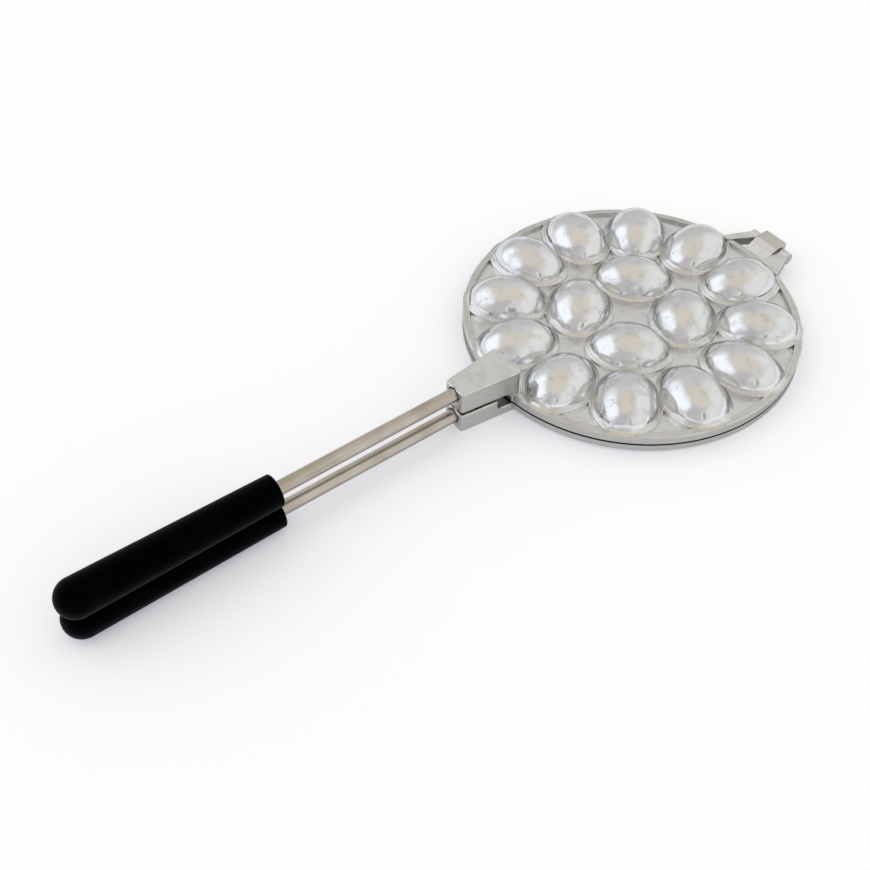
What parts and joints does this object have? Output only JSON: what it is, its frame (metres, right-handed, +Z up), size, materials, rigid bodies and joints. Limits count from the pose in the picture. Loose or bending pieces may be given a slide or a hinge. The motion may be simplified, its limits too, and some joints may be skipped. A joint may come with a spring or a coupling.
{
  "type": "walnut cookie mold",
  "caption": "Hinged round cast plates with nut-shaped domes and cavities, on paired long steel rod handles with soft black grips.",
  "frame": {"origin": "centre of the lower plate's flat underside", "axes": "+Z up through the closed plates, +Y from the handles to the hinge, +X to the right seen from the handles"},
  "size_m": [0.19, 0.4635, 0.0359],
  "materials": {
    "cast_plate": "satin",
    "rod_steel": "satin",
    "pin_steel": "satin",
    "grip_rubber": "matte"
  },
  "bodies": {
    "lower_half": {"lower_plate": "cast_plate", "lower_rod": "rod_steel", "lower_grip": "grip_rubber"},
    "upper_half": {"upper_plate": "cast_plate", "hinge_pin": "pin_steel", "upper_rod": "rod_steel", "upper_grip": "grip_rubber"}
  },
  "joints": [
    {"name": "plate_hinge", "type": "hinge", "parent": "lower_half", "child": "upper_half", "pos_m": [0.004, 0.1093, 0.0077], "axis": [-1, 0, 0], "range_deg": [0, 150]}
  ]
}
